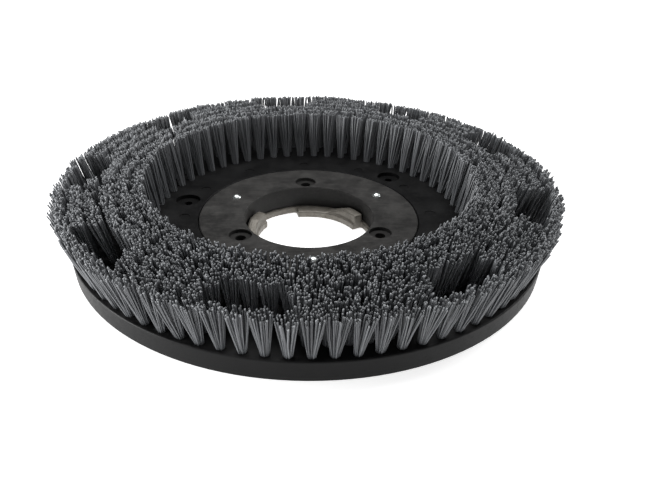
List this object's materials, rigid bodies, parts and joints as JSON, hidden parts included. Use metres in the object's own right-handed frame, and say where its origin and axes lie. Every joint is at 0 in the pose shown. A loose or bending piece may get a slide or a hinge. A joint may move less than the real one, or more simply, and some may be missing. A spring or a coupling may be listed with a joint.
{
  "type": "rotary floor-scrubbing brush",
  "caption": "Round floor-scrubbing disc brush, bristles up: flat plastic block with rings of grey nylon tufts, pockets between them, a flush hub ring and a cast bayonet drive ring.",
  "frame": {"origin": "on the rotation axis, in the plane of the drive ring's machine-side face, which the brush rests on", "axes": "+Z along the rotation axis, from the drive ring towards the bristle tips; +X and +Y across the block"},
  "size_m": [0.4885, 0.4886, 0.0826],
  "materials": {
    "block_plastic": "satin black moulded plastic",
    "hub_plastic": "lightly scuffed matt black plastic",
    "cast_metal": "rough cast, warm grey",
    "zinc": "bright zinc plate",
    "grit_nylon": "grey grit-filled nylon filament",
    "anchor_steel": "plain drawn steel"
  },
  "bodies": {
    "root": {"brush_block": "block_plastic", "hub_ring": "hub_plastic", "drive_ring": "cast_metal", "drive_rivets": "zinc", "hub_screws": "zinc", "hub_washers": "zinc", "tuft_row_1": "grit_nylon", "tuft_row_2": "grit_nylon", "tuft_row_3": "grit_nylon", "tuft_row_4": "grit_nylon", "tuft_row_5": "grit_nylon", "tuft_row_6": "grit_nylon", "anchor_row_1": "anchor_steel", "anchor_row_2": "anchor_steel", "anchor_row_3": "anchor_steel", "anchor_row_4": "anchor_steel", "anchor_row_5": "anchor_steel", "anchor_row_6": "anchor_steel"}
  },
  "joints": []
}
